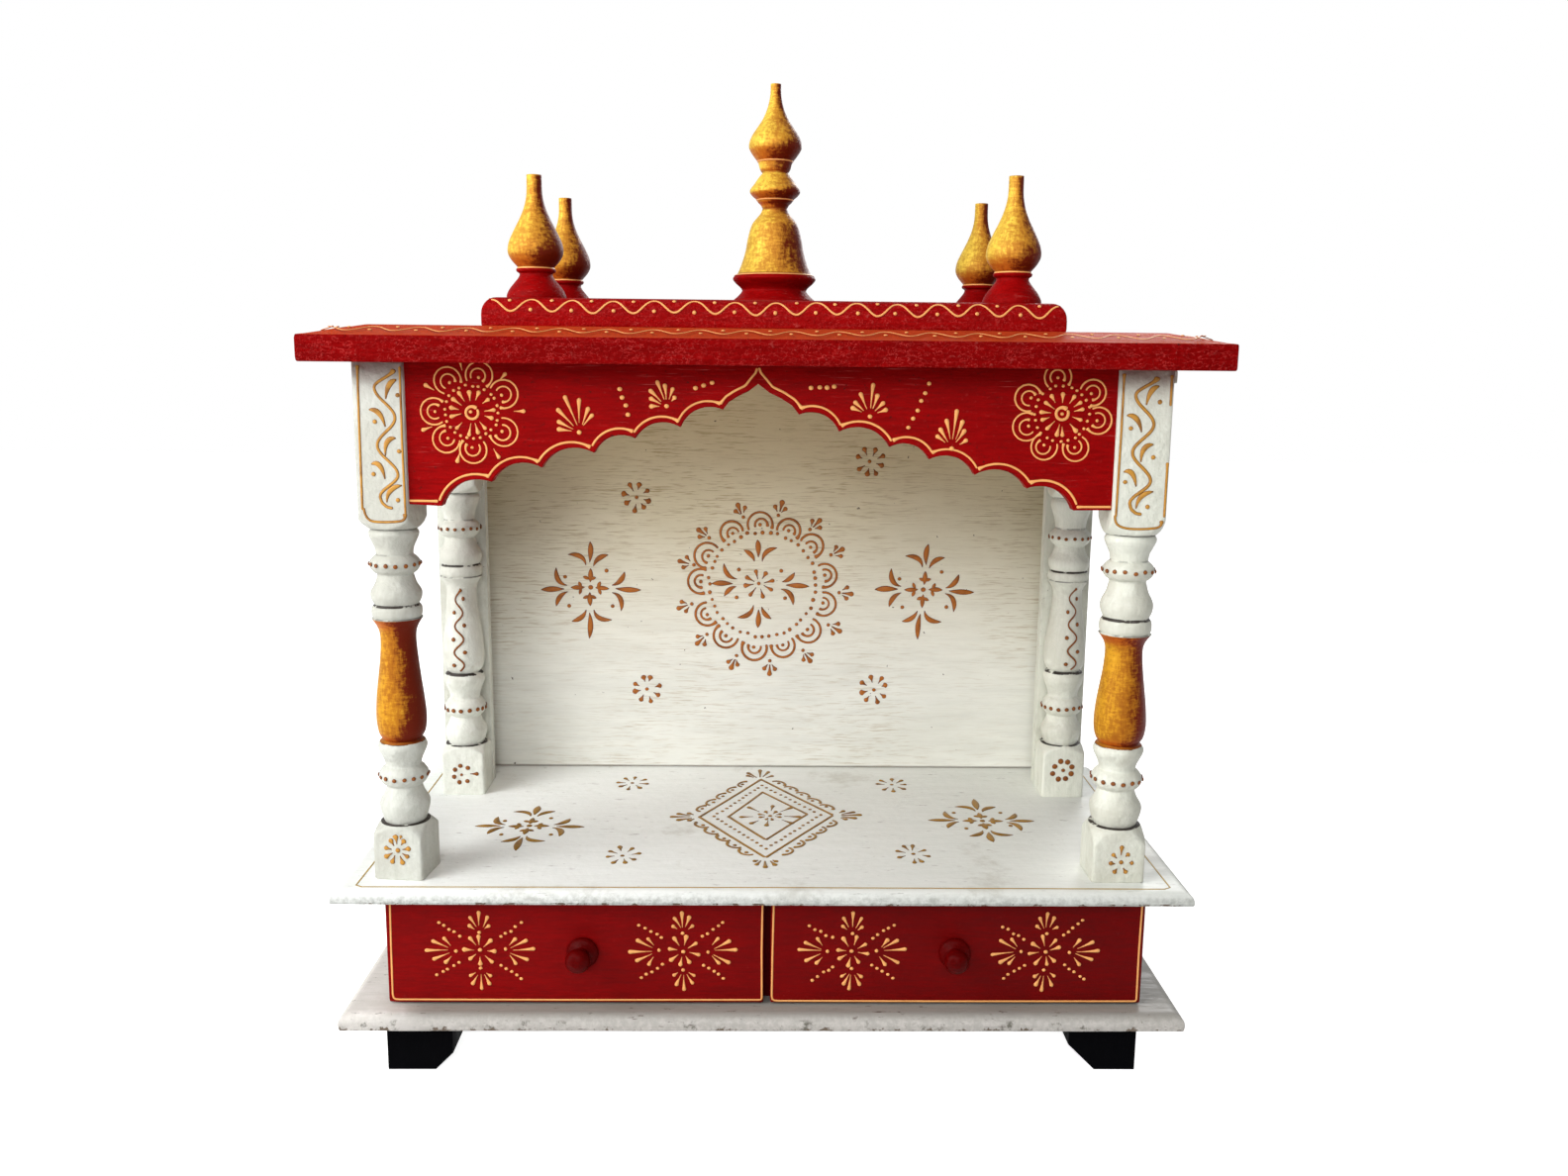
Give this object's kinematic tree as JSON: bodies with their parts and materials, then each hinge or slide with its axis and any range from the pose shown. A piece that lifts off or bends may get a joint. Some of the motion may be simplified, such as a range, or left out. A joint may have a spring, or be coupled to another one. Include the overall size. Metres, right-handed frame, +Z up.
{
  "type": "carved wooden home temple",
  "caption": "Open-fronted wooden home temple with turned columns, a lobed arch, a flat roof with finials, and sliding drawers in its base, painted red and white with raised cone work.",
  "frame": {"origin": "bottom centre of the whole temple, midway between the roof's ends and its front and back edges, on the floor under the feet", "axes": "+X to the right seen from the front, +Y to the back, so the open front faces -Y, +Z up"},
  "size_m": [0.615, 0.305, 0.7195],
  "materials": {
    "red_paint": "satin brushed paint",
    "dark_red_paint": "satin paint",
    "white_paint": "aged off-white brushed paint",
    "gold_paint": "metallic gold paint",
    "black_paint": "matte paint",
    "bare_wood": "bare",
    "cone_work": "raised relief paste, satin"
  },
  "bodies": {
    "temple": {"foot_front_left": "black_paint", "foot_front_right": "black_paint", "foot_back_left": "black_paint", "foot_back_right": "black_paint", "bottom_board": "white_paint", "box_side_left": "dark_red_paint", "box_side_right": "dark_red_paint", "box_back": "white_paint", "box_divider": "dark_red_paint", "deck_board": "white_paint", "column_front_left": "white_paint", "column_front_right": "white_paint", "column_back_left": "white_paint", "column_back_right": "white_paint", "stile_left": "white_paint", "stile_right": "white_paint", "back_panel": "white_paint", "front_arch": "red_paint", "side_cleat_left": "white_paint", "side_cleat_right": "white_paint", "roof_board": "red_paint", "roof_tier": "red_paint", "finial_centre": "gold_paint", "finial_front_left": "gold_paint", "finial_front_right": "gold_paint", "finial_back_left": "gold_paint", "finial_back_right": "gold_paint"},
    "drawer_left": {"drawer_left_front": "dark_red_paint", "drawer_left_outer_side": "bare_wood", "drawer_left_inner_side": "bare_wood", "drawer_left_back": "bare_wood", "drawer_left_bottom": "bare_wood", "drawer_left_knob": "dark_red_paint"},
    "drawer_right": {"drawer_right_front": "dark_red_paint", "drawer_right_outer_side": "bare_wood", "drawer_right_inner_side": "bare_wood", "drawer_right_back": "bare_wood", "drawer_right_bottom": "bare_wood", "drawer_right_knob": "dark_red_paint"}
  },
  "joints": [
    {"name": "drawer_left_slide", "type": "slide", "parent": "temple", "child": "drawer_left", "axis": [0, -1, 0], "range_m": [0, 0.18]},
    {"name": "drawer_right_slide", "type": "slide", "parent": "temple", "child": "drawer_right", "axis": [0, -1, 0], "range_m": [0, 0.18]}
  ]
}
